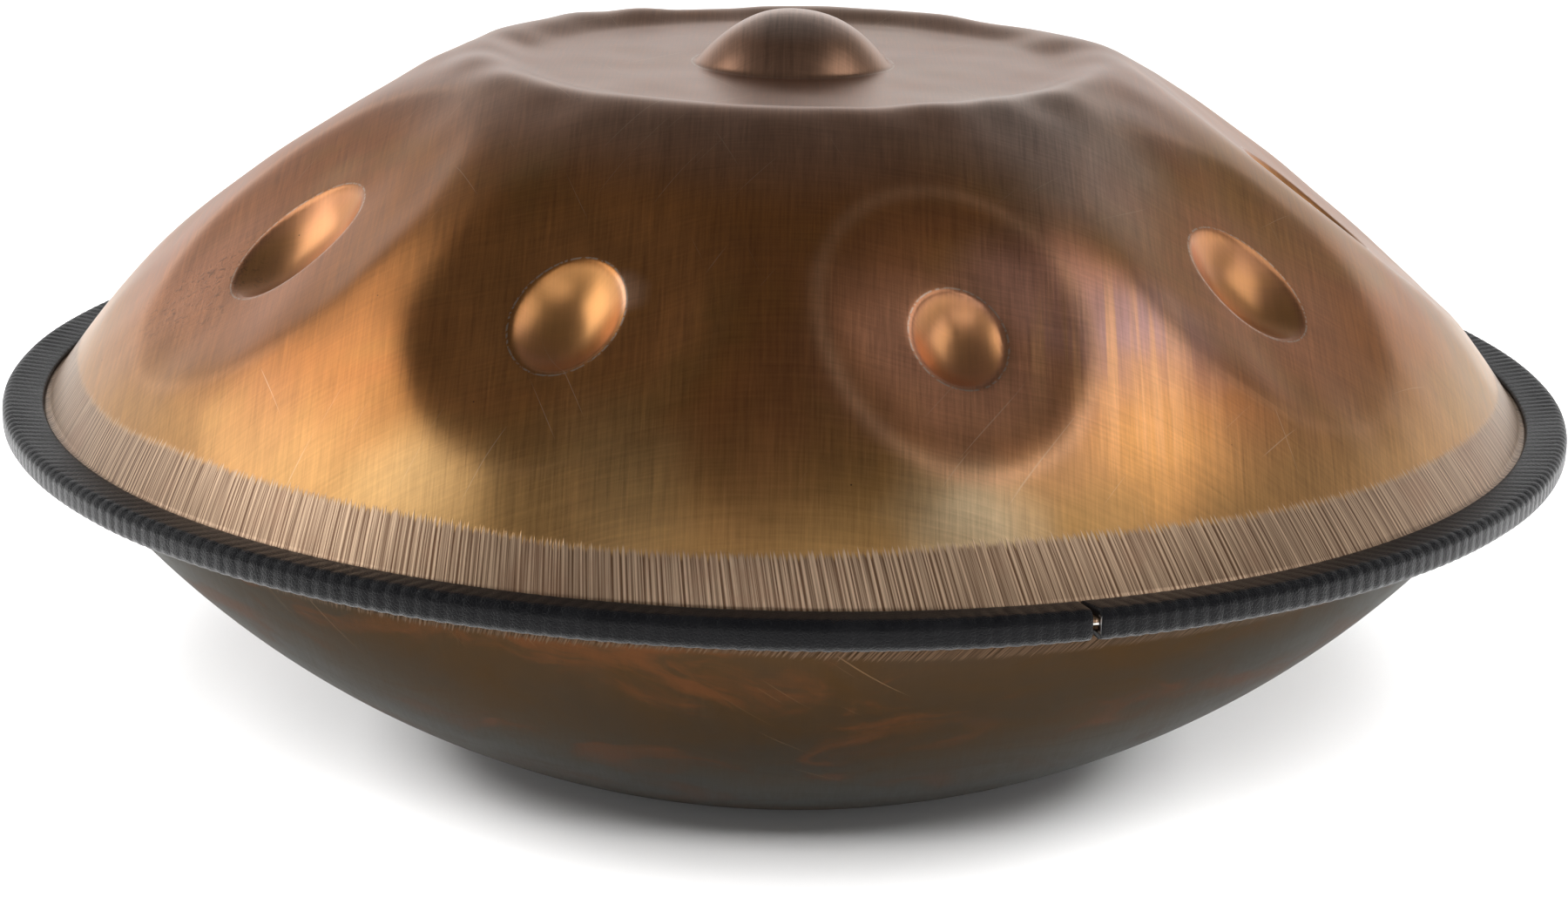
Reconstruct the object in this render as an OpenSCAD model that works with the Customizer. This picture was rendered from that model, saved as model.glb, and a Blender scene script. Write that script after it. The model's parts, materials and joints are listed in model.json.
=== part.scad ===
// Handpan: two rounded steel shells bonded together at a flat rim. The upper shell carries
// the centre dome and eight tone fields, the lower one the sound port. A steel-cored edge
// trim covers the rim.
// Millimetres, +Z up. The origin is on the axis, on the plane that the instrument rests on.
// Directions round the axis are degrees from -Y towards +X.

/* [Shells] */
// Radius of the rounded part of both shells
dome_r = 306; // [300:1:312]
// Radius at which both shells reach the flat rim
rim_r = 256; // [252:1:258]
// Height of the middle of the rim above the resting plane
rim_h = 124; // [120:1:125]
// Thickness of the steel sheet
sheet = 1.2; // [0.9:0.1:1.5]
// Width of the flat rim flange outside the rounded part
flange_w = 11; // [9:1:13]
// Thickness of the adhesive between the two flanges
bond = 0.6; // [0.2:0.1:1]

/* [Centre dome] */
// Radius of the edge of the shallow dish that surrounds the dome
dish_r = 112; // [90:1:116]
// Depth of the dish below its edge
dish_depth = 3.8; // [1:0.2:5]
// Radius of the dome at its foot
ding_r = 34; // [28:1:40]
// Height of the dome above the middle of the dish
ding_h = 18.2; // [12:0.2:24]

/* [Tone fields] */
// Direction of each tone field, one after the other round the shell
field_dirs = [-160, -105, -59, -20, 15, 50, 92, 142]; // [-180:1:180]
// Diameter of each field's dimple, in the same order: the lower the note, the larger
dimple_ds = [54, 48, 42, 34, 28, 37, 45, 51]; // [26:1:56]
// Depth of a dimple as a share of its diameter
dimple_depth_ratio = 0.2; // [0.12:0.01:0.25]
// Length of a field beyond its width, along the slope
field_stretch = 22; // [10:1:26]

/* [Sound port] */
// Radius of the port's straight neck
port_r = 50; // [40:1:50]
// Radius of the bend between the flat underside and the neck
port_bend = 8; // [4:1:8]
// Height of the neck's inner end above the resting plane
port_h = 28; // [18:1:40]

/* [Edge trim] */
// Radial width of the trim
trim_w = 13.8; // [13:0.1:15]
// Thickness of the trim at its nose
trim_t = 9.5; // [9:0.1:11]
// Radius of the two rounded edges of the nose
nose_round = 3.2; // [2:0.1:4]
// Thickness of the trim at its lips
lip_t = 7; // [6.6:0.1:8]
// Opening between the trim's two cut ends, measured at the nose
trim_gap = 1.6; // [0.5:0.1:4]
// Direction of the trim's joint
trim_joint_dir = 19; // [-180:1:180]
// Distance between the steel clips, measured at the nose
clip_pitch = 4.8; // [4:0.1:8]
// Width of one clip along the rim
clip_w = 3.6; // [2:0.1:3.8]
// Thickness of a clip's sheet
clip_t = 0.6; // [0.4:0.1:0.7]

/* [Hidden] */

shell_rise = sqrt(pow(dome_r, 2) - pow(rim_r, 2));
top_centre_z = rim_h - shell_rise;
bottom_centre_z = rim_h + shell_rise;
flange_r = rim_r + flange_w;
cut_margin = 20;

dish_edge_z = top_centre_z + sqrt(pow(dome_r, 2) - pow(dish_r, 2));
dish_floor_z = dish_edge_z - dish_depth;
dish_sphere_r = cap_radius(dish_r, dish_depth);
ding_sphere_r = cap_radius(ding_r, ding_h);

port_mouth_r = port_r + port_bend;

slot_t = bond + 2 * sheet;
trim_r = flange_r + 3;
lip_r = trim_r - trim_w;
lip_round = 1;
slot_clear = 0.2;
clip_clear = 0.05;
clip_skin = 0.5;
clip_outer_r = trim_r - 1.4;
clip_inner_r = lip_r + 1.4;
clip_half_t = slot_t / 2 + clip_skin + clip_t + 2 * clip_clear;
turn = 360;
gap_angle = trim_gap / trim_r * 180 / PI;
clip_count = floor(2 * PI * trim_r / clip_pitch) - 1;
clip_step = (turn - gap_angle) / clip_count;

steel_bronze = [0.45, 0.31, 0.19];
steel_bronze_dark = [0.36, 0.24, 0.15];
adhesive_grey = [0.55, 0.55, 0.52];
trim_black = [0.04, 0.04, 0.045];
clip_zinc = [0.7, 0.71, 0.73];

$fn = 180;

// Radius of the sphere whose cap has the given edge radius and height.
function cap_radius(edge, height) = (pow(edge, 2) + pow(height, 2)) / (2 * height);

// Points of a circular arc in the (radius, height) plane, from angle a0 to a1.
function arc(cx, cy, r, a0, a1, steps) =
    [for (i = [0:steps]) let (a = a0 + (a1 - a0) * i / steps) [cx + r * cos(a), cy + r * sin(a)]];

// Distance of a dimple's centre from the axis: larger fields sit further up the slope.
function dimple_dist(d) = 213 - 0.6 * d;

// Width of a tone field that has a dimple of diameter d.
function field_width(d) = 2.45 * d + 10;

// Moves its children to the top of the rounded surface at this direction and distance from the
// axis, with +Z along the surface normal and +X up the slope.
module on_slope(direction, dist) {
    tilt = asin(dist / dome_r);
    translate([0, 0, top_centre_z])
        rotate([0, 0, direction - 90])
            rotate([0, tilt, 0])
                rotate([0, 0, 180])
                    translate([0, 0, dome_r])
                        children();
}

// One tone field: a gently hollowed oval cut by a cylinder that lies along the slope.
// inset is the distance of the cut surface below the outer face of the sheet.
module field_cut(width, inset) {
    half_w = width / 2;
    half_l = half_w + field_stretch / 2;
    sink = pow(half_l, 2) / (2 * dome_r);
    roll_r = 1 / (2 * sink / pow(half_w, 2) - 1 / dome_r);
    translate([0, 0, roll_r - sink])
        rotate([0, 90, 0])
            cylinder(r = roll_r + inset, h = 2 * half_l + cut_margin, center = true);
}

// The bowl of one dimple, pressed into the middle of its field.
module dimple_cut(d, field_sink, inset) {
    depth = d * dimple_depth_ratio;
    bowl_r = cap_radius(d / 2, depth);
    translate([0, 0, bowl_r - depth - field_sink])
        sphere(r = bowl_r + inset);
}

// Everything under the upper shell's outer face, or under its inner face when inset is the
// thickness of the sheet.
module top_form(inset) {
    difference() {
        translate([0, 0, top_centre_z])
            sphere(r = dome_r - inset);
        translate([0, 0, dish_floor_z + dish_sphere_r])
            sphere(r = dish_sphere_r + inset);
        for (i = [0:len(field_dirs) - 1]) {
            d = dimple_ds[i];
            width = field_width(d);
            field_sink = pow((width + field_stretch) / 2, 2) / (2 * dome_r);
            on_slope(field_dirs[i], dimple_dist(d)) {
                field_cut(width, inset);
                dimple_cut(d, field_sink, inset);
            }
        }
    }
    translate([0, 0, dish_floor_z + ding_h - ding_sphere_r])
        sphere(r = ding_sphere_r - inset);
}

// Upper sheet: rounded shell with its dome, fields and dimples, and the flat rim flange.
module top_shell() {
    base_z = rim_h + bond / 2;
    color(steel_bronze)
        difference() {
            union() {
                intersection() {
                    top_form(0);
                    translate([0, 0, base_z])
                        cylinder(r = flange_r, h = dome_r);
                }
                translate([0, 0, base_z])
                    cylinder(r = flange_r, h = sheet);
            }
            top_form(sheet);
        }
}

// Lower sheet: rounded shell, flat resting ring, and the port bent inwards into a neck.
module bottom_shell() {
    top_z = rim_h - bond / 2;
    color(steel_bronze_dark) {
        difference() {
            union() {
                intersection() {
                    translate([0, 0, bottom_centre_z])
                        sphere(r = dome_r);
                    cylinder(r = flange_r, h = top_z);
                }
                translate([0, 0, top_z - sheet])
                    cylinder(r = flange_r, h = sheet);
            }
            intersection() {
                translate([0, 0, bottom_centre_z])
                    sphere(r = dome_r - sheet);
                translate([0, 0, sheet])
                    cylinder(r = flange_r, h = rim_h);
            }
            translate([0, 0, -sheet])
                cylinder(r = port_mouth_r, h = 3 * sheet);
        }
        port_neck();
    }
}

// The bend round the port's mouth and the straight neck above it.
module port_neck() {
    rotate_extrude() {
        translate([port_mouth_r, port_bend])
            intersection() {
                difference() {
                    circle(r = port_bend);
                    circle(r = port_bend - sheet);
                }
                translate([-port_bend, -port_bend])
                    square(port_bend);
            }
        translate([port_r, port_bend])
            square([sheet, port_h - port_bend]);
    }
}

// Structural adhesive that joins the two flanges.
module rim_adhesive() {
    color(adhesive_grey)
        translate([0, 0, rim_h - bond / 2])
            difference() {
                cylinder(r = flange_r, h = bond);
                translate([0, 0, -bond])
                    cylinder(r = rim_r, h = 3 * bond);
            }
}

// Outline of the trim: blunt rounded nose outside, tapering to two rounded lips inside.
module trim_outline() {
    nose_x = trim_r - nose_round;
    nose_y = trim_t / 2 - nose_round;
    lip_x = lip_r + lip_round;
    lip_y = lip_t / 2 - lip_round;
    polygon(concat(
        arc(nose_x, -nose_y, nose_round, -90, 0, 8),
        arc(nose_x, nose_y, nose_round, 0, 90, 8),
        arc(lip_x, lip_y, lip_round, 100, 180, 4),
        arc(lip_x, -lip_y, lip_round, 180, 260, 4)
    ));
}

// U-shaped outline of the clip, or of its pocket when it is grown by a clearance.
module clip_outline(grow) {
    outer_y = clip_half_t - clip_clear + grow;
    inner_y = clip_half_t - clip_clear - clip_t - grow;
    outer_x = clip_outer_r + grow;
    web_x = clip_outer_r - clip_t - grow;
    tip_x = clip_inner_r - grow;
    polygon([
        [tip_x, outer_y], [tip_x, inner_y], [web_x, inner_y], [web_x, -inner_y],
        [tip_x, -inner_y], [tip_x, -outer_y], [outer_x, -outer_y], [outer_x, outer_y]
    ]);
}

// Turns its children so that angle zero is the first cut end of the trim.
module from_trim_joint() {
    translate([0, 0, rim_h])
        rotate([0, 0, trim_joint_dir - 90 + gap_angle / 2])
            children();
}

// Black plastic edge trim, one length bent round the rim, with a pocket for the clips.
module edge_trim() {
    color(trim_black)
        from_trim_joint()
            rotate_extrude(angle = turn - gap_angle)
                difference() {
                    trim_outline();
                    translate([lip_r - slot_clear, -slot_t / 2])
                        square([flange_r + 2 * slot_clear - lip_r, slot_t]);
                    clip_outline(clip_clear);
                }
}

// The row of separate spring-steel clips inside the trim that grip the rim.
module trim_clips() {
    color(clip_zinc)
        from_trim_joint()
            for (i = [0:clip_count - 1])
                rotate([0, 0, (i + 0.5) * clip_step])
                    translate([0, clip_w / 2, 0])
                        rotate([90, 0, 0])
                            linear_extrude(height = clip_w)
                                clip_outline(0);
}

top_shell();
bottom_shell();
rim_adhesive();
edge_trim();
trim_clips();
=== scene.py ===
"""Handpan: the looks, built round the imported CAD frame. Metres, +Z up."""

import json
import math

import bpy
import numpy as np
from mathutils import Matrix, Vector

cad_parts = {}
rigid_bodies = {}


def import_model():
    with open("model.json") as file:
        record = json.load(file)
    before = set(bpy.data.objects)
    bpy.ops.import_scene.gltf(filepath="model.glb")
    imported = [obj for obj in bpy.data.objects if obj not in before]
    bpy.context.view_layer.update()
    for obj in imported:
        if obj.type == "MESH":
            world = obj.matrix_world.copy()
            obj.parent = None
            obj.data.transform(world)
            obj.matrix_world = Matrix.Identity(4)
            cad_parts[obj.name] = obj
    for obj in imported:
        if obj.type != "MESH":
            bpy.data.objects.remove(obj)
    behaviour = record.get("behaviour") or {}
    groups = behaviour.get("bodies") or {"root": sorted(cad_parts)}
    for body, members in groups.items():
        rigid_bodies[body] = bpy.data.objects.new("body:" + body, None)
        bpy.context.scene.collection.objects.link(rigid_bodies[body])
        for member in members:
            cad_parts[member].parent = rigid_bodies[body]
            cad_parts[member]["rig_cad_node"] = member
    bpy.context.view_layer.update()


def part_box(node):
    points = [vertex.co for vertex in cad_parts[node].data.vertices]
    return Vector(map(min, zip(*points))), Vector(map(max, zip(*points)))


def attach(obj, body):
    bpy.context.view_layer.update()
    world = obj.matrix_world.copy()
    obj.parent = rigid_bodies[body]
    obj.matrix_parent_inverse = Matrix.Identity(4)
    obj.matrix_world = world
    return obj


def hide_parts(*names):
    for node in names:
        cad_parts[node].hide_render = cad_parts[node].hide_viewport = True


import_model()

# ---------------------------------------------------------------- driving dimensions

MM = 0.001

ADHESIVE_LOW, ADHESIVE_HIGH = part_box("rim_adhesive")
TRIM_LOW, TRIM_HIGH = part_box("edge_trim")
TOP_LOW, TOP_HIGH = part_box("top_shell")

RIM_Z = (ADHESIVE_LOW[2] + ADHESIVE_HIGH[2]) / 2   # middle of the rim
BOND = ADHESIVE_HIGH[2] - ADHESIVE_LOW[2]          # adhesive thickness
FLANGE_R = TOP_HIGH[0]                             # outer radius of the sheet flanges
TRIM_R = FLANGE_R + 3 * MM                         # outer radius of the trim
TRIM_HALF_T = (TRIM_HIGH[2] - TRIM_LOW[2]) / 2     # half the trim's thickness

DOME_R = 306 * MM                                  # radius of both rounded shells
RIM_R = FLANGE_R - 11 * MM                         # where the rounded shells meet the flange
SHEET = 1.2 * MM
SHEET_EDGE_R = FLANGE_R - 0.2 * MM                 # keeps the sheets clear of the trim's slot
RISE = math.sqrt(DOME_R ** 2 - RIM_R ** 2)
TOP_CENTRE_Z = RIM_Z - RISE
BOTTOM_CENTRE_Z = RIM_Z + RISE

DING_H = 18.2 * MM                                 # dome above the dish floor
DING_R = 33.8 * MM
DISH_FLOOR_Z = TOP_HIGH[2] - DING_H
DISH_FLAT_R = 86 * MM
DISH_EDGE_R = 122 * MM

# Tone fields: direction round the axis in degrees from -Y towards +X, dimple diameter in mm, and how
# strongly the field's rim is painted with a highlight line on it and shade just inside it
FIELDS = [(-160, 54, 0.4), (-105, 48, 0.3), (-59, 42, 0.5), (-20, 34, 0.15),
          (15, 28, 1.0), (50, 37, 0.3), (92, 45, 0.4), (142, 51, 0.5)]
DIMPLE_OVAL = 1.27                                 # dimple length over its width
DIMPLE_DEPTH = 0.2                                 # dimple depth over its width
FIELD_HOLLOW = 1.25                                # field depth over that of a flat field
FIELD_WIDTH_SHARE = 1.225                          # half a field's width over its dimple's diameter
FIELD_WIDTH_EXTRA = 5 * MM
FIELD_LENGTH_EXTRA = 11 * MM                       # half length beyond half width
FIELD_SHIFT = 4 * MM                               # field's middle above its dimple's, up the slope
FIELD_MEAN_R = 190 * MM                            # usual distance of a dimple from the axis

HAMMER_ALL = 0.16                                  # hammer unevenness everywhere, mm
HAMMER_RIDGE = 0.3                                 # more of it on the dish's ridge, mm

PORT_R = 50 * MM
PORT_BEND = 8 * MM
PORT_TOP_Z = 28 * MM

JOINT_DIR = 19.0                                   # direction of the trim's joint
RIB_COUNT = 352                                    # one rib over each clip in the trim
RIB_LIFT = 0.28 * MM
TRIM_W = 13.8 * MM

TOP_COLUMNS = 800
TOP_ROWS = 280
TOP_INNER_ROWS = 90
BOTTOM_COLUMNS = 512

random = np.random.default_rng(11)


# ---------------------------------------------------------------- shape helpers

def blend(x):
    """0 below 0, 1 above 1, and a smooth S between."""
    x = np.clip(x, 0.0, 1.0)
    return x * x * x * (x * (6 * x - 15) + 10)


def directions(a):
    """Angles from -Y towards +X as (x, y) unit directions."""
    return np.stack([np.sin(a), -np.cos(a)], axis=-1)


def even_ring(count):
    """An even ring of (x, y) unit directions."""
    return directions(np.arange(count) * 2 * math.pi / count)


def waves(count, shortest, longest):
    """Random sine waves, as wave vectors and phases, for gentle unevenness."""
    length = random.uniform(shortest, longest, count)
    heading = random.uniform(0, 2 * math.pi, count)
    k = 2 * math.pi / length
    return np.stack([k * np.cos(heading), k * np.sin(heading)], -1), random.uniform(0, 6.28, count)


HAMMER_WAVES = waves(26, 22 * MM, 70 * MM)


def soft_top(height, round_off):
    """The height where it is above zero, zero elsewhere, with a rounded meeting line."""
    return (height + np.sqrt(height * height + round_off * round_off)) / 2


def dense_steps(low, high, count, centres, widths, gain):
    """Steps from low to high, closer together round the centres."""
    fine = np.linspace(low, high, 4001)
    density = np.ones_like(fine)
    for centre, width in zip(centres, widths):
        for shift in (-2 * math.pi, 0, 2 * math.pi):
            density += gain * np.exp(-((fine - centre - shift) / width) ** 4)
    total = np.concatenate([[0], np.cumsum((density[1:] + density[:-1]) / 2)])
    return np.interp(np.linspace(0, total[-1], count + 1), total, fine)


def unevenness(x, y, table):
    """Sum of sine waves at plan positions: usually within 1 of zero, at most about 2.5."""
    k, phase = table
    total = np.zeros_like(x)
    for (kx, ky), p in zip(k, phase):
        total += np.sin(kx * x + ky * y + p)
    return total / math.sqrt(len(phase))


def field_axes(direction, dimple_d):
    """Centre direction of a field, and its unit vectors round the axis and down the slope."""
    a = math.radians(direction)
    dist = 213 * MM - 0.6 * dimple_d
    t = math.asin(dist / DOME_R)
    outward = np.array([math.sin(a), -math.cos(a), 0.0])
    across = np.array([math.cos(a), math.sin(a), 0.0])
    down = outward * math.cos(t) - np.array([0, 0, math.sin(t)])
    normal = outward * math.sin(t) + np.array([0, 0, math.cos(t)])
    return across, down, normal


def tone_fields(unit):
    """Inward depth of fields and dimples at unit directions, the distance from the nearest dimple's
    edge, and masks for a painted highlight line on the field's rim and for painted shade just inside it."""
    depth = np.zeros(unit.shape[:-1])
    nearest_edge = np.full(unit.shape[:-1], 1.0)
    painted_rim_masks = np.zeros(unit.shape[:-1] + (2,))
    for direction, size, clarity in FIELDS:
        d = size * MM
        across, down, normal = field_axes(direction, d)
        u = DOME_R * (unit @ across)
        v = DOME_R * (unit @ down)
        facing = (unit @ normal) > 0
        half_w = FIELD_WIDTH_SHARE * d + FIELD_WIDTH_EXTRA
        half_l = half_w + FIELD_LENGTH_EXTRA
        q = np.hypot(u / half_w, (v + FIELD_SHIFT) / half_l)
        sink = FIELD_HOLLOW * half_w * half_l / (2 * DOME_R)
        depth += np.where(facing, soft_top(sink * (1 - q * q), 1.3 * MM), 0)
        # column 0: painted highlight line on the field's rim; column 1: painted shade just inside it
        for column, middle, spread in ((0, 1.04, 2.4 * MM), (1, 0.86, 5 * MM)):
            ridge = clarity * np.exp(-((q - middle) * half_w / spread) ** 2)
            painted_rim_masks[..., column] = np.maximum(painted_rim_masks[..., column], np.where(facing, ridge, 0))
        du = u / (d / 2)
        dv = v / (d / 2 * DIMPLE_OVAL)
        dq = np.hypot(du, dv)
        bowl = soft_top(d * DIMPLE_DEPTH * (1 - dq ** 2.3), 0.5 * MM)
        depth += np.where(facing, bowl, 0)
        edge = (dq - 1) * np.hypot(u, v) / np.maximum(dq, 1e-6)
        edge = np.where(facing & (dq > 0.05), edge, np.where(facing, -d / 2, 1.0))
        nearest_edge = np.where(np.abs(edge) < np.abs(nearest_edge), edge, nearest_edge)
        nearest_edge = np.where(facing & (dq < 1), edge, nearest_edge)
    return depth, nearest_edge, painted_rim_masks


def top_surface(tilt, ring, inset):
    """Points of the upper shell at polar angles tilt, for a ring of directions."""
    s, c = np.sin(tilt)[:, None], np.cos(tilt)[:, None]
    unit = np.stack([s * ring[:, 0], s * ring[:, 1], c + 0 * ring[:, 0]], axis=-1)
    depth, edge, painted_rim_masks = tone_fields(unit)
    r = DOME_R * np.sin(tilt)[:, None] + 0 * depth
    x, y = r * ring[:, 0], r * ring[:, 1]
    near_rim = blend((RIM_R - r) / (25 * MM))
    on_ridge = blend((r - DISH_FLAT_R) / (14 * MM)) * blend((DISH_EDGE_R + 14 * MM - r) / (20 * MM))
    hammer = HAMMER_ALL + HAMMER_RIDGE * on_ridge
    depth += hammer * MM * unevenness(x, y, HAMMER_WAVES) * near_rim
    points = unit * (DOME_R - inset - depth)[..., None]
    points[..., 2] += TOP_CENTRE_Z
    sphere_z = TOP_CENTRE_Z + np.sqrt(DOME_R ** 2 - r ** 2)
    dish = (sphere_z - DISH_FLOOR_Z) * (1 - blend((r - DISH_FLAT_R) / (DISH_EDGE_R - DISH_FLAT_R)))
    dome = soft_top(DING_H * (1 - (r / DING_R) ** 2.2), 0.6 * MM)
    points[..., 2] += dome - dish
    ding_edge = r - DING_R
    edge = np.where(np.abs(ding_edge) < np.abs(edge), ding_edge, edge)
    return points, edge, painted_rim_masks


def flat_rings(profile, ring):
    """Rings of revolution through (radius, height) points."""
    return np.array([np.column_stack([ring * r, np.full(len(ring), z)]) for r, z in profile])


# ---------------------------------------------------------------- mesh helpers

def grid_faces(rows, cols, wrap_rows=False):
    """Quads of a rows by cols grid that is closed round its columns."""
    i = np.arange(rows if wrap_rows else rows - 1)[:, None]
    j = np.arange(cols)[None, :]
    i2, j2 = (i + 1) % rows, (j + 1) % cols
    quads = np.stack([i * cols + j, i2 * cols + j, i2 * cols + j2, i * cols + j2], axis=-1)
    return quads.reshape(-1, 4)


def build_mesh(name, points, faces, caps=()):
    """A smooth mesh object from points, quads and further faces of any size."""
    mesh = bpy.data.meshes.new(name)
    mesh.from_pydata(points.reshape(-1, 3).tolist(), [], faces.tolist() + [list(c) for c in caps])
    mesh.update()
    mesh.shade_smooth()
    piece = bpy.data.objects.new(name, mesh)
    bpy.context.collection.objects.link(piece)
    return piece


def fan(centre, first, count, flip=False):
    """Triangles between a centre point and a ring of points."""
    out = []
    for j in range(count):
        a, b = first + j, first + (j + 1) % count
        out.append((centre, b, a) if flip else (centre, a, b))
    return out


def add_mask(piece, name, values):
    """A float attribute on the points, read by the shader."""
    layer = piece.data.attributes.new(name, "FLOAT", "POINT")
    layer.data.foreach_set("value", values.astype(np.float32).ravel())


# ---------------------------------------------------------------- pieces

def make_top_shell():
    """Upper sheet, outside and inside, from the dome's top to the flange and back."""
    count = TOP_COLUMNS
    centres = [math.radians(direction) for direction, size, clarity in FIELDS]
    widths = [size * MM / 2 / FIELD_MEAN_R * 1.25 for direction, size, clarity in FIELDS]
    ring = directions(dense_steps(-math.pi, math.pi, count, centres, widths, 1.6)[:-1])
    rim_tilt = math.asin((RIM_R - 1.5 * MM) / DOME_R)
    flange_top = RIM_Z + BOND / 2 + SHEET
    outer_tilt = dense_steps(0, rim_tilt, TOP_ROWS, [0.64, 0.10], [0.12, 0.05], 1.2)[1:]
    outer, edge, painted_rim_masks = top_surface(outer_tilt, ring, 0)
    foot = flat_rings([
        (RIM_R - 0.7 * MM, flange_top + 0.6 * MM), (RIM_R + 0.3 * MM, flange_top + 0.1 * MM),
        (RIM_R + 1.5 * MM, flange_top), (SHEET_EDGE_R, flange_top),
        (SHEET_EDGE_R, flange_top - SHEET), (RIM_R - 1 * MM, flange_top - SHEET)], ring)
    inner_tilt = np.linspace(rim_tilt, 0, TOP_INNER_ROWS + 1)[:-1]
    inner, inner_edge, inner_painted_rim_masks = top_surface(inner_tilt, ring, SHEET)
    rings = np.concatenate([outer, foot, inner])
    rows = len(rings)
    apex_out = rows * count
    apex_z = DISH_FLOOR_Z + DING_H
    points = np.vstack([rings.reshape(-1, 3), [0, 0, apex_z], [0, 0, apex_z - SHEET]])
    caps = fan(apex_out, 0, count) + fan(apex_out + 1, (rows - 1) * count, count, flip=True)
    piece = build_mesh("top_shell_sheet", points, grid_faces(rows, count), caps)
    blank = np.full((len(foot), count), 1.0)
    ends = [-DING_R, -DING_R]
    all_edges = np.concatenate([edge, blank, inner_edge]).ravel()
    add_mask(piece, "dimple_edge", np.concatenate([all_edges, ends]))
    # masks for the painted highlight line on each field's rim and the painted shade inside it
    for column, name in ((0, "field_rim_highlight"), (1, "field_painted_shade")):
        values = np.concatenate([painted_rim_masks[..., column], 0 * blank, inner_painted_rim_masks[..., column]]).ravel()
        add_mask(piece, name, np.concatenate([values, [0, 0]]))
    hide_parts("top_shell")
    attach(piece, "root")
    return piece


def arc(cx, cz, r, a0, a1, steps):
    """Points of an arc in the (radius, height) plane, angles in degrees."""
    a = np.radians(np.linspace(a0, a1, steps + 1))
    return [(cx + r * math.cos(t), cz + r * math.sin(t)) for t in a]


def make_bottom_shell():
    """Lower sheet: flange, rounded shell, resting ring, port bend and neck, and back inside."""
    ring = even_ring(BOTTOM_COLUMNS)
    flange_low = RIM_Z - BOND / 2 - SHEET
    mouth_r = PORT_R + PORT_BEND

    def dome(r_from, r_to, inset, steps):
        radius = DOME_R - inset
        out = []
        for r in np.linspace(r_from, r_to, steps + 1):
            z = BOTTOM_CENTRE_Z - math.sqrt(radius ** 2 - r ** 2)
            out.append((r, max(z, inset)))
        return out

    outside = [(SHEET_EDGE_R, flange_low), (RIM_R + 1.5 * MM, flange_low),
               (RIM_R + 0.3 * MM, flange_low - 0.1 * MM), (RIM_R - 0.7 * MM, flange_low - 0.6 * MM)]
    outside += dome(RIM_R - 1.5 * MM, mouth_r + 1 * MM, 0, 150)
    outside += arc(mouth_r, PORT_BEND, PORT_BEND, 270, 180, 12)
    neck = arc(PORT_R + SHEET / 2, PORT_TOP_Z - SHEET / 2, SHEET / 2, 180, 0, 6)
    inside = arc(mouth_r, PORT_BEND, PORT_BEND - SHEET, 180, 270, 8)
    inside += dome(mouth_r + 1 * MM, RIM_R - 2.5 * MM, SHEET, 60)
    inside += [(RIM_R - 1 * MM, flange_low + SHEET), (SHEET_EDGE_R, flange_low + SHEET)]
    rings = flat_rings(outside + neck + inside, ring)
    piece = build_mesh("bottom_shell_sheet", rings, grid_faces(len(rings), len(ring), wrap_rows=True))
    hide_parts("bottom_shell")
    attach(piece, "root")
    return piece


def trim_section():
    """Closed outline of the trim as (radius, height, rib share) points, slot included."""
    inner_r = TRIM_R - TRIM_W
    half = TRIM_HALF_T - RIB_LIFT
    lip = 3.4 * MM
    slot = BOND / 2 + SHEET + 0.03 * MM
    corner = 3.0 * MM
    nose_x = TRIM_R - RIB_LIFT - corner
    top = [(nose_x + x, z, s) for x, z, s in
           [(corner * math.cos(math.radians(a)), half - corner + corner * math.sin(math.radians(a)), 1.0)
            for a in range(0, 91, 10)]]
    slope = [(nose_x + (inner_r + 1 * MM - nose_x) * k, half + (lip - half) * k, 1 - 0.25 * k)
             for k in (0.15, 0.3, 0.45, 0.6, 0.75, 0.9)]
    lip_round = [(inner_r + 1 * MM - 1 * MM * math.sin(math.radians(a)),
                  lip - 1 * MM + 1 * MM * math.cos(math.radians(a)), 0.6 - 0.5 * a / 90)
                 for a in (15, 35, 55, 75, 90)]
    upper = top + slope + lip_round
    mouth = [(inner_r, slot + 0.3 * MM, 0.0), (inner_r + 0.3 * MM, slot, 0.0),
             (FLANGE_R + 0.1 * MM, slot, 0.0)]
    side = [(TRIM_R - RIB_LIFT, z, 1.0) for z in np.linspace(-0.6, 0.6, 3) * (half - corner)]
    lower = [(r, -z, s) for r, z, s in reversed(upper + mouth)]
    return np.array(upper + mouth + lower[:-1] + side[1:-1])


def make_edge_trim():
    """Black trim with a rib over each clip and open cut ends."""
    section = trim_section()
    per_rib = 8
    steps = RIB_COUNT * per_rib
    gap_outer, gap_inner = 3.2 * MM, 1.1 * MM
    k = np.linspace(0, 1, steps + 1)[:, None]
    r, z, share = section[:, 0], section[:, 1], section[:, 2]
    reach = (r - r.min()) / (r.max() - r.min())
    half_gap = (gap_inner + (gap_outer - gap_inner) * reach) / 2 / r
    a = math.radians(JOINT_DIR) + half_gap + k * (2 * math.pi - 2 * half_gap)
    rib = 0.5 + 0.5 * np.cos(2 * math.pi * RIB_COUNT * k + math.pi)
    strength = 0.8 + 0.2 * np.sin(2 * math.pi * k * 23) * np.sin(2 * math.pi * k * 7)
    lift = RIB_LIFT * (rib ** 0.6) * share * strength
    centre_r = TRIM_R - 5 * MM
    out_r = r - centre_r
    length = np.hypot(out_r, z) + 1e-9
    radius = r + lift * out_r / length
    height = z + lift * z / length
    points = np.stack([radius * np.sin(a), -radius * np.cos(a), RIM_Z + height], axis=-1)
    cols = len(section)
    faces = grid_faces(steps + 1, cols)
    last = steps * cols
    caps = [tuple(range(cols)), tuple(last + j for j in reversed(range(cols)))]
    piece = build_mesh("edge_trim_profile", points, faces, caps)
    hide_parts("edge_trim")
    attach(piece, "root")
    return piece


# ---------------------------------------------------------------- shader helpers

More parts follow.
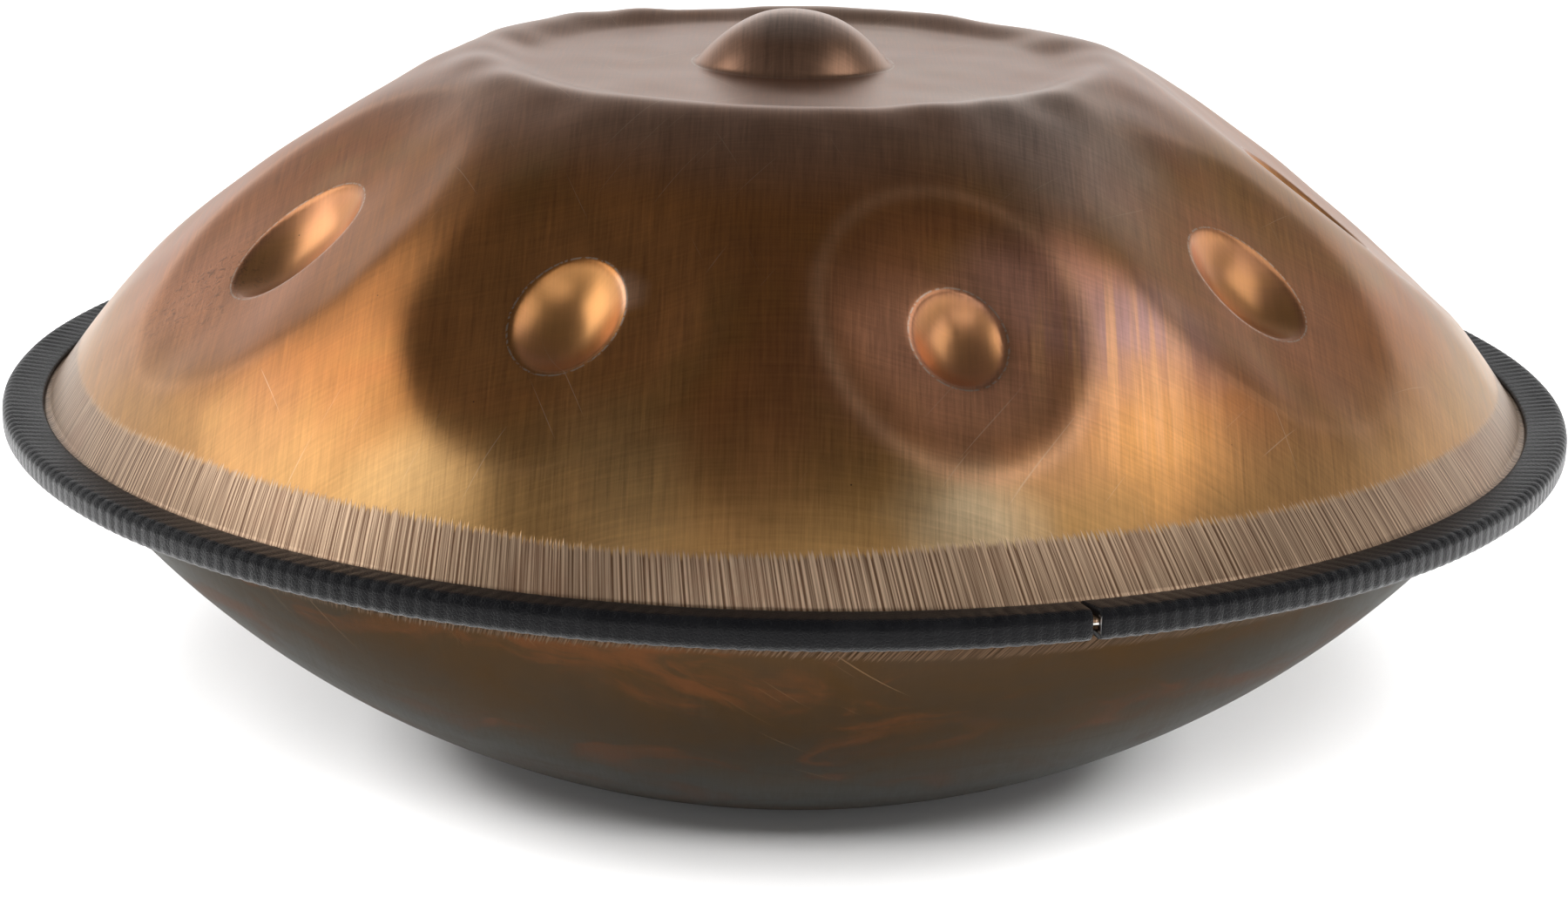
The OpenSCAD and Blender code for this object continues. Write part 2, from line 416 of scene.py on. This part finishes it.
class Shader:
    """A material's node tree with short calls for the nodes used here."""

    def __init__(self, name):
        self.material = bpy.data.materials.new(name)
        self.material.use_nodes = True
        self.tree = self.material.node_tree
        self.surface = self.tree.nodes["Principled BSDF"]

    def add(self, kind, inputs=(), **settings):
        node = self.tree.nodes.new("ShaderNode" + kind)
        for key, value in settings.items():
            setattr(node, key, value)
        for key, value in dict(inputs).items():
            self.put(node.inputs[key], value)
        return node

    def put(self, socket, value):
        if isinstance(value, bpy.types.NodeSocket):
            self.tree.links.new(value, socket)
        else:
            socket.default_value = value

    def calc(self, operation, a, b=0.0):
        return self.add("Math", {0: a, 1: b}, operation=operation).outputs[0]

    def smooth(self, value, low, high):
        """0 at low, 1 at high, smooth between."""
        node = self.add("MapRange", {"Value": value, "From Min": low, "From Max": high},
                        interpolation_type="SMOOTHSTEP")
        return node.outputs["Result"]

    def mix(self, factor, a, b, blend_type="MIX"):
        node = self.add("Mix", {"Factor": factor}, data_type="RGBA", blend_type=blend_type)
        self.put(node.inputs[6], a)
        self.put(node.inputs[7], b)
        return node.outputs[2]

    def stretch(self, vector, scale, shift=(0, 0, 0)):
        return self.add("Mapping", {"Vector": vector, "Scale": scale, "Location": shift}).outputs[0]

    def noise(self, vector, scale, detail=3.0, roughness=0.5, warp=0.0):
        node = self.add("TexNoise", {"Vector": vector, "Scale": scale, "Detail": detail,
                                     "Roughness": roughness, "Distortion": warp})
        return node.outputs["Fac"]

    def mask(self, name):
        return self.add("Attribute", attribute_name=name).outputs["Fac"]


def steel_lines(sh, place):
    """Fine straight brushing along Y, with fainter cross lines, as a value about 0.5."""
    along = sh.noise(sh.stretch(place, (1300, 50, 50)), 1.0, 4.0, 0.65)
    broad = sh.noise(sh.stretch(place, (560, 20, 20), (3, 1, 0)), 1.0, 3.0, 0.6)
    cross = sh.noise(sh.stretch(place, (50, 1300, 50), (0, 5, 0)), 1.0, 3.0, 0.6)
    lines = sh.calc("ADD", sh.calc("MULTIPLY", along, 0.5), sh.calc("MULTIPLY", broad, 0.22))
    return sh.calc("ADD", lines, sh.calc("MULTIPLY", cross, 0.28))


def polar_place(sh, place, lean):
    """Distance from the axis, and (angle, distance) places whose lines slant by lean."""
    parts = sh.add("SeparateXYZ", {"Vector": place})
    x, y = parts.outputs[0], parts.outputs[1]
    radius = sh.calc("SQRT", sh.calc("ADD", sh.calc("MULTIPLY", x, x), sh.calc("MULTIPLY", y, y)))
    turn = sh.calc("ARCTAN2", x, sh.calc("MULTIPLY", y, -1.0))
    slant = sh.calc("MULTIPLY", sh.calc("SUBTRACT", radius, RIM_R), lean)
    polar = sh.add("CombineXYZ", {"X": sh.calc("ADD", turn, slant), "Y": radius, "Z": 0.0}).outputs[0]
    return radius, polar


def rim_band(sh, place, start, lean):
    """Mask of the sanded band beside the rim with a ragged inner edge, and its strokes."""
    radius, polar = polar_place(sh, place, lean)
    fine = sh.noise(sh.stretch(polar, (300, 12, 1)), 1.0, 2.0, 0.6)
    coarse = sh.noise(sh.stretch(polar, (210, 8, 1), (7, 0, 0)), 1.0, 3.0, 0.6)
    strokes = sh.calc("ADD", sh.calc("MULTIPLY", fine, 0.72), sh.calc("MULTIPLY", coarse, 0.28))
    ragged = sh.calc("MULTIPLY", sh.calc("SUBTRACT", fine, 0.5), 6 * MM)
    wander = sh.calc("MULTIPLY", sh.calc("SUBTRACT", sh.noise(place, 6.0, 1.0), 0.5), 10 * MM)
    edge = sh.calc("ADD", sh.calc("ADD", radius, ragged), wander)
    return sh.smooth(edge, start, start + 1.2 * MM), strokes


def brushed_tangent(sh):
    """Tangent along the brushing: world Y laid onto the surface."""
    normal = sh.add("NewGeometry").outputs["Normal"]
    side = sh.add("VectorMath", {0: normal, 1: (0, 1, 0)}, operation="CROSS_PRODUCT").outputs[0]
    return sh.add("VectorMath", {0: side, 1: normal}, operation="CROSS_PRODUCT").outputs[0]


def on_dome(direction, dist):
    """Point of the rounded upper shell at a direction and distance from the axis."""
    a = math.radians(direction)
    return dist * math.sin(a), -dist * math.cos(a), TOP_CENTRE_Z + math.sqrt(DOME_R ** 2 - dist ** 2)


def spot(sh, place, direction, dist, reach):
    """Soft mask round a point of the upper shell: 1 in the middle and 0 at reach."""
    away = sh.add("VectorMath", {0: place, 1: on_dome(direction, dist)}, operation="DISTANCE")
    return sh.smooth(away.outputs["Value"], reach, 0.1 * reach)


def cloudy(sh, place, amount):
    """Places pushed about by soft noise, for marks with uneven outlines."""
    swirl = sh.add("TexNoise", {"Vector": place, "Scale": 14.0, "Detail": 3.0}).outputs["Color"]
    centred = sh.add("VectorMath", {0: swirl, 1: (0.5, 0.5, 0.5)}, operation="SUBTRACT").outputs[0]
    push = sh.add("VectorMath", {0: centred, "Scale": amount}, operation="SCALE").outputs[0]
    return sh.add("VectorMath", {0: place, 1: push}, operation="ADD").outputs[0]


def scratches(sh, place, heading, rarity):
    """Mask of sparse straight scratches along one heading, in degrees."""
    turned = sh.add("Mapping", {"Vector": place, "Rotation": (0, 0, math.radians(heading))}).outputs[0]
    lines = sh.noise(sh.stretch(turned, (1100, 11, 11)), 1.0, 2.0, 0.5)
    return sh.smooth(lines, rarity, rarity + 0.03)


def specks(sh, place, per_metre, size):
    """Mask of small scattered dots, size in metres."""
    cells = sh.add("TexVoronoi", {"Vector": place, "Scale": per_metre})
    dot = sh.smooth(cells.outputs["Distance"], size * per_metre, 0.5 * size * per_metre)
    rare = sh.add("SeparateColor", {"Color": cells.outputs["Color"]}).outputs[0]
    return sh.calc("MULTIPLY", dot, sh.smooth(rare, 0.6, 0.62))


# ---------------------------------------------------------------- materials

ROSE = (0.74, 0.34, 0.20, 1)
PINK = (0.92, 0.46, 0.34, 1)
PEACH = (0.95, 0.55, 0.36, 1)
VIOLET = (0.62, 0.37, 0.36, 1)
ORANGE = (0.90, 0.42, 0.13, 1)
GOLD = (0.64, 0.38, 0.15, 1)
PALE_GOLD = (0.80, 0.60, 0.36, 1)
DEEP_BROWN = (0.44, 0.18, 0.050, 1)
UMBER = (0.36, 0.15, 0.05, 1)
GREY_MAUVE = (0.64, 0.50, 0.43, 1)

# Heat tints, and painted highlights in two dimples: direction and distance of the middle, reach in mm,
# colour, strength
HEAT_TINTS_AND_HIGHLIGHTS = [(-66, 205, 75, ROSE, 0.55), (-20, 190, 62, DEEP_BROWN, 0.7), (15, 204, 58, ROSE, 0.75),
         (50, 192, 66, ROSE, 0.45), (0, 222, 45, UMBER, 0.5), (26, 178, 38, PINK, 0.6),
         (31, 203, 36, VIOLET, 0.75), (28, 224, 36, ORANGE, 0.8), (-12, 232, 36, GOLD, 0.6),
         (13, 242, 30, PALE_GOLD, 0.8), (-26, 238, 34, GOLD, 0.8), (120, 215, 80, ROSE, 0.5),
         # the peach spot at -17 degrees and the pink spot at 51 degrees are painted highlights inside
         # those dimples
         (-17, 184, 13, PEACH, 0.9), (51, 190, 14, PINK, 0.7), (-140, 210, 80, GOLD, 0.5),
         (42, 128, 62, GREY_MAUVE, 0.6), (170, 200, 60, VIOLET, 0.35), (-105, 200, 60, DEEP_BROWN, 0.5)]


def top_steel():
    """Heat-tinted, brushed upper sheet with smooth dimples and a sanded rim band. It also has painted
    highlights in two dimples, along the field rims and dimple edges, in streaks beside a field and on
    the ding's top, and painted shade inside the field rims.
    """
    sh = Shader("bronze_brushed_steel")
    place = sh.add("TexCoord").outputs["Object"]
    z = sh.add("SeparateXYZ", {"Vector": place}).outputs[2]
    lines = steel_lines(sh, place)
    warped = cloudy(sh, place, 0.06)
    cloud = sh.noise(place, 5.5, 4.0, 0.55, 0.4)
    patch = sh.noise(sh.stretch(place, (1, 1, 1), (4, 2, 0)), 11.0, 4.0, 0.6, 0.6)
    mottle = sh.noise(place, 60.0, 4.0, 0.6)

    colour = sh.mix(sh.smooth(cloud, 0.38, 0.62), (0.46, 0.172, 0.040, 1), (0.44, 0.16, 0.050, 1))
    colour = sh.mix(sh.smooth(patch, 0.45, 0.7), colour, (0.40, 0.185, 0.042, 1))
    low = sh.smooth(z, RIM_Z + 50 * MM, RIM_Z + 18 * MM)
    colour = sh.mix(sh.calc("MULTIPLY", low, 0.7), colour, (0.55, 0.31, 0.11, 1))
    high = sh.smooth(z, RIM_Z + 92 * MM, RIM_Z + 116 * MM)
    colour = sh.mix(sh.calc("MULTIPLY", high, 0.75), colour, (0.46, 0.27, 0.19, 1))
    # Top of the ding lighter and greyer: partly its own colour, partly a painted highlight
    crown_highlight = sh.smooth(z, RIM_Z + 122 * MM, RIM_Z + 131 * MM)
    colour = sh.mix(sh.calc("MULTIPLY", crown_highlight, 0.85), colour, (0.86, 0.64, 0.54, 1))
    for direction, dist, reach, tint, strength in HEAT_TINTS_AND_HIGHLIGHTS:
        mask = spot(sh, warped, direction, dist * MM, reach * MM)
        colour = sh.mix(sh.calc("MULTIPLY", mask, strength), colour, tint)

    # Painted highlight: orange streaks of reflected light beside the field right of the front
    streaks = sh.smooth(sh.noise(sh.stretch(place, (260, 8, 8)), 1.0, 2.0), 0.48, 0.62)
    painted_glow = sh.calc("MULTIPLY", streaks, spot(sh, warped, 28, 206 * MM, 46 * MM))
    colour = sh.mix(sh.calc("MULTIPLY", painted_glow, 0.65), colour, (1.0, 0.50, 0.22, 1))

    # Painted shade just inside each field's rim, and a painted highlight line along the rim
    uneven = sh.smooth(patch, 0.3, 0.6)
    painted_field_shade = sh.calc("MULTIPLY", sh.mask("field_painted_shade"), uneven)
    colour = sh.mix(sh.calc("MULTIPLY", painted_field_shade, 0.5), colour, (0.30, 0.115, 0.045, 1))
    painted_rim_highlight = sh.calc("MULTIPLY", sh.mask("field_rim_highlight"), sh.smooth(cloud, 0.35, 0.6))
    colour = sh.mix(sh.calc("MULTIPLY", painted_rim_highlight, 0.5), colour, (0.95, 0.50, 0.27, 1))

    edge = sh.mask("dimple_edge")
    bowl = sh.smooth(edge, 0.5 * MM, -2.5 * MM)
    above = sh.smooth(z, RIM_Z + 100 * MM, RIM_Z + 108 * MM)
    dimple = sh.calc("MULTIPLY", bowl, sh.calc("SUBTRACT", 1.0, above))
    pressed = sh.mix(sh.smooth(patch, 0.4, 0.65), (0.70, 0.33, 0.11, 1), (0.74, 0.33, 0.17, 1))
    colour = sh.mix(sh.calc("MULTIPLY", dimple, 0.85), colour, pressed)

    tone = sh.calc("ADD", sh.calc("MULTIPLY", lines, 1.5), sh.calc("MULTIPLY", mottle, 0.32))
    tone = sh.calc("ADD", tone, 0.04)
    shade = sh.add("CombineColor", {0: tone, 1: tone, 2: tone}).outputs[0]
    visible = sh.calc("SUBTRACT", 0.9, sh.calc("MULTIPLY", dimple, 0.6))
    colour = sh.mix(visible, colour, shade, "MULTIPLY")
    marks = sh.calc("MAXIMUM", scratches(sh, place, 38, 0.72), scratches(sh, place, -24, 0.73))
    colour = sh.mix(sh.calc("MULTIPLY", marks, 0.35), colour, (0.75, 0.55, 0.38, 1))
    dots = sh.calc("MULTIPLY", specks(sh, place, 90, 0.35 * MM), 0.8)
    colour = sh.mix(dots, colour, (0.05, 0.03, 0.02, 1))

    pitted = spot(sh, warped, -65, 214 * MM, 42 * MM)
    peel = sh.noise(place, 420.0, 3.0, 0.55, 1.2)
    cracks = sh.calc("MULTIPLY", pitted, sh.smooth(peel, 0.56, 0.66))
    colour = sh.mix(sh.calc("MULTIPLY", cracks, 0.55), colour, (0.16, 0.08, 0.04, 1))

    band, strokes = rim_band(sh, place, RIM_R - 11.5 * MM, -1.2)
    stain = sh.smooth(sh.noise(sh.stretch(place, (1, 1, 1), (2, 2, 5)), 38.0, 4.0, 0.6), 0.52, 0.68)
    sanded = sh.mix(sh.smooth(strokes, 0.41, 0.60), (0.15, 0.075, 0.038, 1), (0.68, 0.48, 0.32, 1))
    sanded = sh.mix(sh.calc("MULTIPLY", stain, 0.4), sanded, (0.36, 0.20, 0.12, 1))
    colour = sh.mix(band, colour, sanded)

    # Painted highlight: a broken light line just outside each dimple's edge
    from_highlight_line = sh.calc("ABSOLUTE", sh.calc("SUBTRACT", edge, 1.0 * MM))
    ring_line = sh.calc("SUBTRACT", 1.0, sh.smooth(from_highlight_line, 0.15 * MM, 0.45 * MM))
    edge_highlight = sh.calc("MULTIPLY", ring_line, sh.smooth(sh.noise(place, 900.0, 1.0), 0.35, 0.55))
    colour = sh.mix(sh.calc("MULTIPLY", edge_highlight, 0.6), colour, (0.62, 0.52, 0.42, 1))

    rough = sh.calc("ADD", 0.22, sh.calc("MULTIPLY", lines, 0.18))
    rough = sh.calc("ADD", rough, sh.calc("MULTIPLY", band, 0.08))
    rough = sh.calc("ADD", rough, sh.calc("MULTIPLY", dimple, 0.02))
    smooth_part = sh.calc("MAXIMUM", dimple, high)
    grain = sh.calc("MULTIPLY", lines, sh.calc("SUBTRACT", 1.0, sh.calc("MULTIPLY", smooth_part, 0.8)))
    height = sh.calc("ADD", grain, sh.calc("MULTIPLY", sh.calc("MULTIPLY", strokes, band), 3.0))
    height = sh.calc("ADD", height, sh.calc("MULTIPLY", sh.calc("MULTIPLY", peel, pitted), 5.0))
    bump = sh.add("Bump", {"Height": height, "Strength": 0.3, "Distance": 0.12 * MM})
    surface = sh.surface
    surface.inputs["Metallic"].default_value = 1.0
    surface.inputs["Anisotropic"].default_value = 0.3
    surface.inputs["Coat Weight"].default_value = 0.35
    surface.inputs["Coat Roughness"].default_value = 0.3
    sh.put(surface.inputs["Base Color"], colour)
    sh.put(surface.inputs["Roughness"], rough)
    sh.put(surface.inputs["Normal"], bump.outputs[0])
    sh.put(surface.inputs["Tangent"], brushed_tangent(sh))
    return sh.material


def bottom_steel():
    """Brown lower sheet with cloudy reddish patches and a narrow sanded edge."""
    sh = Shader("brown_brushed_steel")
    place = sh.add("TexCoord").outputs["Object"]
    z = sh.add("SeparateXYZ", {"Vector": place}).outputs[2]
    lines = steel_lines(sh, place)
    warped = cloudy(sh, place, 0.05)
    cloud = sh.noise(sh.stretch(warped, (1, 1, 2.2), (9, 3, 0)), 7.0, 5.0, 0.6, 0.6)
    patch = sh.noise(sh.stretch(warped, (1, 1, 2.6), (1, 8, 0)), 16.0, 5.0, 0.65, 0.8)
    colour = sh.mix(sh.smooth(cloud, 0.36, 0.62), (0.058, 0.028, 0.009, 1), (0.048, 0.029, 0.016, 1))
    colour = sh.mix(sh.smooth(patch, 0.5, 0.66), colour, (0.086, 0.035, 0.014, 1))
    low = sh.smooth(z, 70 * MM, 15 * MM)
    colour = sh.mix(sh.calc("MULTIPLY", low, 0.65), colour, (0.040, 0.029, 0.020, 1))
    tone = sh.calc("ADD", 0.75, sh.calc("MULTIPLY", lines, 0.5))
    shade = sh.add("CombineColor", {0: tone, 1: tone, 2: tone}).outputs[0]
    colour = sh.mix(0.9, colour, shade, "MULTIPLY")
    marks = scratches(sh, place, 52, 0.72)
    colour = sh.mix(sh.calc("MULTIPLY", marks, 0.35), colour, (0.22, 0.13, 0.07, 1))
    band, strokes = rim_band(sh, place, RIM_R - 10.5 * MM, -3.2)
    sanded = sh.mix(sh.smooth(strokes, 0.40, 0.60), (0.025, 0.013, 0.006, 1), (0.11, 0.068, 0.042, 1))
    colour = sh.mix(band, colour, sanded)
    rough = sh.calc("ADD", 0.24, sh.calc("MULTIPLY", lines, 0.16))
    rough = sh.calc("ADD", rough, sh.calc("MULTIPLY", sh.smooth(patch, 0.4, 0.7), 0.06))
    bump = sh.add("Bump", {"Height": lines, "Strength": 0.2, "Distance": 0.1 * MM})
    surface = sh.surface
    surface.inputs["Metallic"].default_value = 1.0
    surface.inputs["Anisotropic"].default_value = 0.4
    surface.inputs["Specular Tint"].default_value = (0.46, 0.50, 0.51, 1)
    sh.put(surface.inputs["Base Color"], colour)
    sh.put(surface.inputs["Roughness"], rough)
    sh.put(surface.inputs["Normal"], bump.outputs[0])
    sh.put(surface.inputs["Tangent"], brushed_tangent(sh))
    return sh.material


def trim_plastic():
    """Black soft plastic with a leather-like grain."""
    sh = Shader("black_grained_plastic")
    place = sh.add("TexCoord").outputs["Object"]
    cells = sh.add("TexVoronoi", {"Vector": place, "Scale": 900.0}, feature="DISTANCE_TO_EDGE")
    grain = sh.noise(place, 700.0, 3.0, 0.6)
    wear = sh.noise(place, 60.0, 4.0, 0.6)
    colour = sh.mix(sh.smooth(wear, 0.4, 0.7), (0.0014, 0.0014, 0.0017, 1), (0.0024, 0.0024, 0.0027, 1))
    creases = sh.smooth(cells.outputs["Distance"], 0.0, 0.18)
    height = sh.calc("ADD", creases, sh.calc("MULTIPLY", grain, 1.2))
    bump = sh.add("Bump", {"Height": height, "Strength": 0.5, "Distance": 0.14 * MM})
    sh.surface.inputs["Specular IOR Level"].default_value = 0.34
    sh.surface.inputs["Specular Tint"].default_value = (0.22, 0.22, 0.22, 1)
    sh.put(sh.surface.inputs["Base Color"], colour)
    sh.put(sh.surface.inputs["Roughness"], sh.calc("ADD", 0.26, sh.calc("MULTIPLY", wear, 0.16)))
    sh.put(sh.surface.inputs["Normal"], bump.outputs[0])
    return sh.material


def adhesive():
    """Cured grey adhesive, slightly mottled."""
    sh = Shader("cured_adhesive")
    place = sh.add("TexCoord").outputs["Object"]
    mottle = sh.noise(place, 400.0, 3.0)
    colour = sh.mix(mottle, (0.40, 0.39, 0.36, 1), (0.52, 0.51, 0.48, 1))
    bump = sh.add("Bump", {"Height": mottle, "Strength": 0.3, "Distance": 0.1 * MM})
    sh.put(sh.surface.inputs["Base Color"], colour)
    sh.put(sh.surface.inputs["Normal"], bump.outputs[0])
    sh.surface.inputs["Roughness"].default_value = 0.6
    return sh.material


def clip_steel():
    """Zinc-plated spring steel with fine rolling lines."""
    sh = Shader("zinc_spring_steel")
    place = sh.add("TexCoord").outputs["Object"]
    rolled = sh.noise(sh.stretch(place, (60, 60, 2500)), 1.0, 3.0)
    colour = sh.mix(rolled, (0.52, 0.53, 0.55, 1), (0.68, 0.69, 0.71, 1))
    sh.put(sh.surface.inputs["Base Color"], colour)
    sh.put(sh.surface.inputs["Roughness"], sh.calc("ADD", 0.25, sh.calc("MULTIPLY", rolled, 0.15)))
    sh.surface.inputs["Metallic"].default_value = 1.0
    return sh.material


def dress(piece, material):
    """Gives a piece its one material."""
    piece.data.materials.clear()
    piece.data.materials.append(material)


def dress_cad(node, material):
    """Gives a carried-over CAD node its finish."""
    for part in bpy.context.scene.objects:
        if part.get("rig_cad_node") == node:
            for place in part.material_slots:
                place.material = material


# ---------------------------------------------------------------- stage

def make_floor():
    """Plain pale floor, just under the resting ring."""
    size, low = 3.4, -0.1 * MM
    mesh = bpy.data.meshes.new("floor")
    corners = [(-size, -size, low), (size, -size, low), (size, size, low), (-size, size, low)]
    mesh.from_pydata(corners, [], [(0, 1, 2, 3)])
    floor = bpy.data.objects.new("floor", mesh)
    bpy.context.collection.objects.link(floor)
    sh = Shader("pale_floor")
    place = sh.add("TexCoord").outputs["Object"]
    mottle = sh.noise(place, 3.0, 2.0)
    sh.put(sh.surface.inputs["Base Color"], sh.mix(mottle, (0.9, 0.9, 0.9, 1), (0.93, 0.93, 0.93, 1)))
    sh.surface.inputs["Roughness"].default_value = 0.8
    dress(floor, sh.material)


def make_world():
    """Pale studio: bright walls at the horizon, a dim ceiling."""
    world = bpy.data.worlds.new("studio")
    bpy.context.scene.world = world
    world.use_nodes = True
    tree = world.node_tree
    background = tree.nodes["Background"]
    coords = tree.nodes.new("ShaderNodeTexCoord")
    parts = tree.nodes.new("ShaderNodeSeparateXYZ")
    ramp = tree.nodes.new("ShaderNodeValToRGB")
    tree.links.new(coords.outputs["Generated"], parts.inputs[0])
    tree.links.new(parts.outputs[2], ramp.inputs[0])
    tree.links.new(ramp.outputs[0], background.inputs["Color"])
    stops = ramp.color_ramp.elements
    stops[0].position, stops[0].color = 0.0, (1.0, 1.0, 1.0, 1)
    stops[1].position, stops[1].color = 1.0, (0.09, 0.09, 0.09, 1)
    for height, shade in [(0.30, 0.95), (0.43, 0.38), (0.80, 0.10)]:
        stops.new(height).color = (shade, shade, shade, 1)
    background.inputs["Strength"].default_value = 1.0


def softbox(name, azimuth, elevation, distance, width, height, power):
    """A rectangular light aimed at the middle of the instrument."""
    a, e = math.radians(azimuth), math.radians(elevation)
    data = bpy.data.lights.new(name, "AREA")
    data.shape = "RECTANGLE"
    data.size, data.size_y, data.energy = width, height, power
    lamp = bpy.data.objects.new(name, data)
    bpy.context.collection.objects.link(lamp)
    lamp.location = (distance * math.cos(e) * math.sin(a), -distance * math.cos(e) * math.cos(a),
                     RIM_Z + distance * math.sin(e))
    lamp.rotation_euler = (math.radians(90) - e, 0, a)
    return lamp


def make_camera():
    """Camera at the picture's angle: 1.1 m away, a little above the rim."""
    distance = 1.1
    elevation = math.radians(15.10)
    pitch = math.radians(16.44)
    roll = math.radians(1.29)
    data = bpy.data.cameras.new("camera")
    data.lens, data.sensor_width = 71.15, 36.0
    camera = bpy.data.objects.new("camera", data)
    bpy.context.collection.objects.link(camera)
    camera.location = (0, -distance * math.cos(elevation), RIM_Z + distance * math.sin(elevation))
    turn = Matrix.Rotation(math.radians(90) - pitch, 3, "X") @ Matrix.Rotation(roll, 3, "Z")
    camera.rotation_euler = turn.to_euler()
    bpy.context.scene.camera = camera


make_camera()
dress(make_top_shell(), top_steel())
dress(make_bottom_shell(), bottom_steel())
dress(make_edge_trim(), trim_plastic())
dress_cad("rim_adhesive", adhesive())
dress_cad("trim_clips", clip_steel())

make_floor()
make_world()
softbox("key_left", -88, 38, 1.7, 1.2, 0.8, 5.8)
softbox("key_right", 74, 51, 1.7, 1.3, 0.7, 3.1)
softbox("front_strip", 0, 42, 2.2, 1.5, 0.08, 2.4)

# Lights for the floor, left out of every reflection
FLOOR_FILLS = [("floor_fill_top", 0, 89, 3.0, 3.0, 75), ("floor_fill_front", 0, 37, 2.2, 0.7, 140),
               ("floor_fill_left", -90, 36, 1.6, 0.6, 70), ("floor_fill_right", 90, 36, 1.6, 0.6, 70)]
for name, azimuth, elevation, width, height, power in FLOOR_FILLS:
    softbox(name, azimuth, elevation, 3.0, width, height, power).visible_glossy = False
bpy.context.scene.view_settings.view_transform = "Standard"
